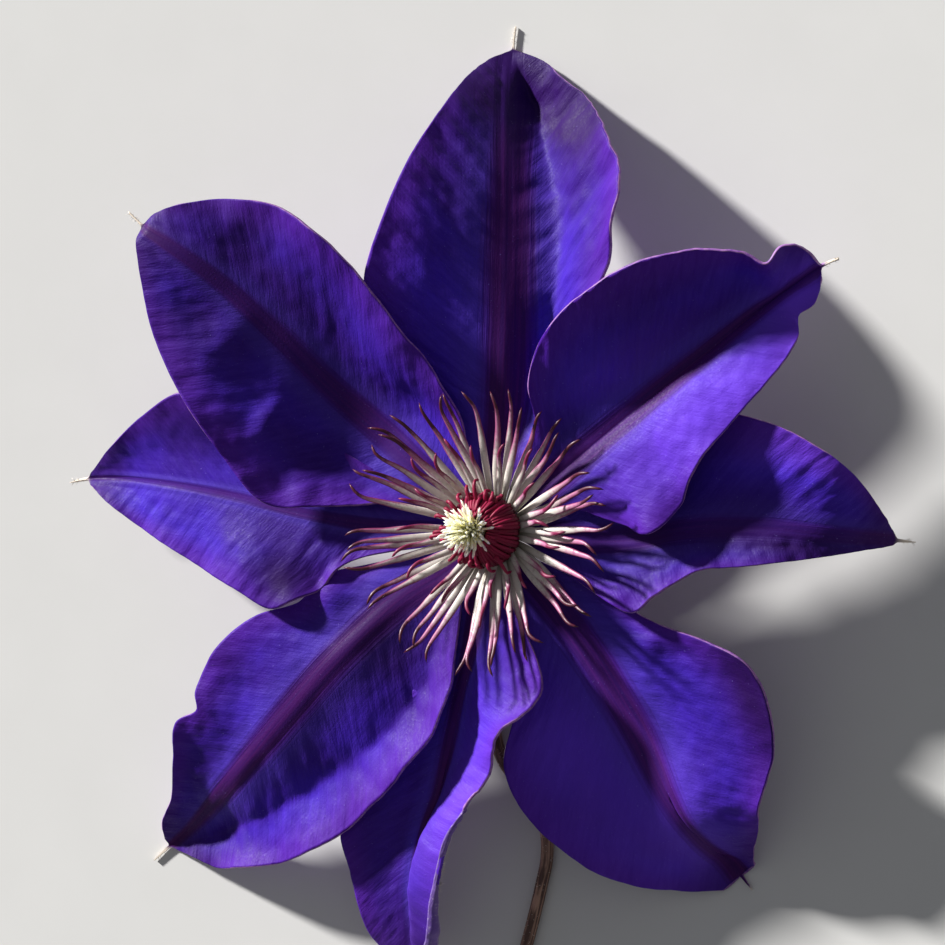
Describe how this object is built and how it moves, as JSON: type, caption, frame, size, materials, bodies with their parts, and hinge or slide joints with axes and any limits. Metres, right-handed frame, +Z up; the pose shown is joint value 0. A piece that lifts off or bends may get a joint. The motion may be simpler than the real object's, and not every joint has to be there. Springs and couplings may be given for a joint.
{
  "type": "clematis flower",
  "caption": "Picked large-flowered clematis bloom with violet sepals, dark stamens and a cream style tuft, lying face up on its stalk.",
  "frame": {"origin": "middle of the ground that the flower covers, on the surface it lies on", "axes": "+Z up along the flower's axis, out of its face; +Y towards the topmost sepal, so the cut stalk runs to -Y; +X to the right, seen from above"},
  "size_m": [0.1574, 0.1891, 0.0298],
  "materials": {
    "sepal": "satin",
    "filament": "satin",
    "anther": "matte",
    "style": "matte",
    "stalk": "matte"
  },
  "bodies": {
    "root": {"sepal_top": "sepal", "sepal_upper_left": "sepal", "sepal_left": "sepal", "sepal_lower_left": "sepal", "sepal_bottom": "sepal", "sepal_lower_right": "sepal", "sepal_right": "sepal", "sepal_upper_right": "sepal", "stamens": "filament", "inner_stamens": "anther", "styles": "style", "stalk": "stalk"}
  },
  "joints": []
}
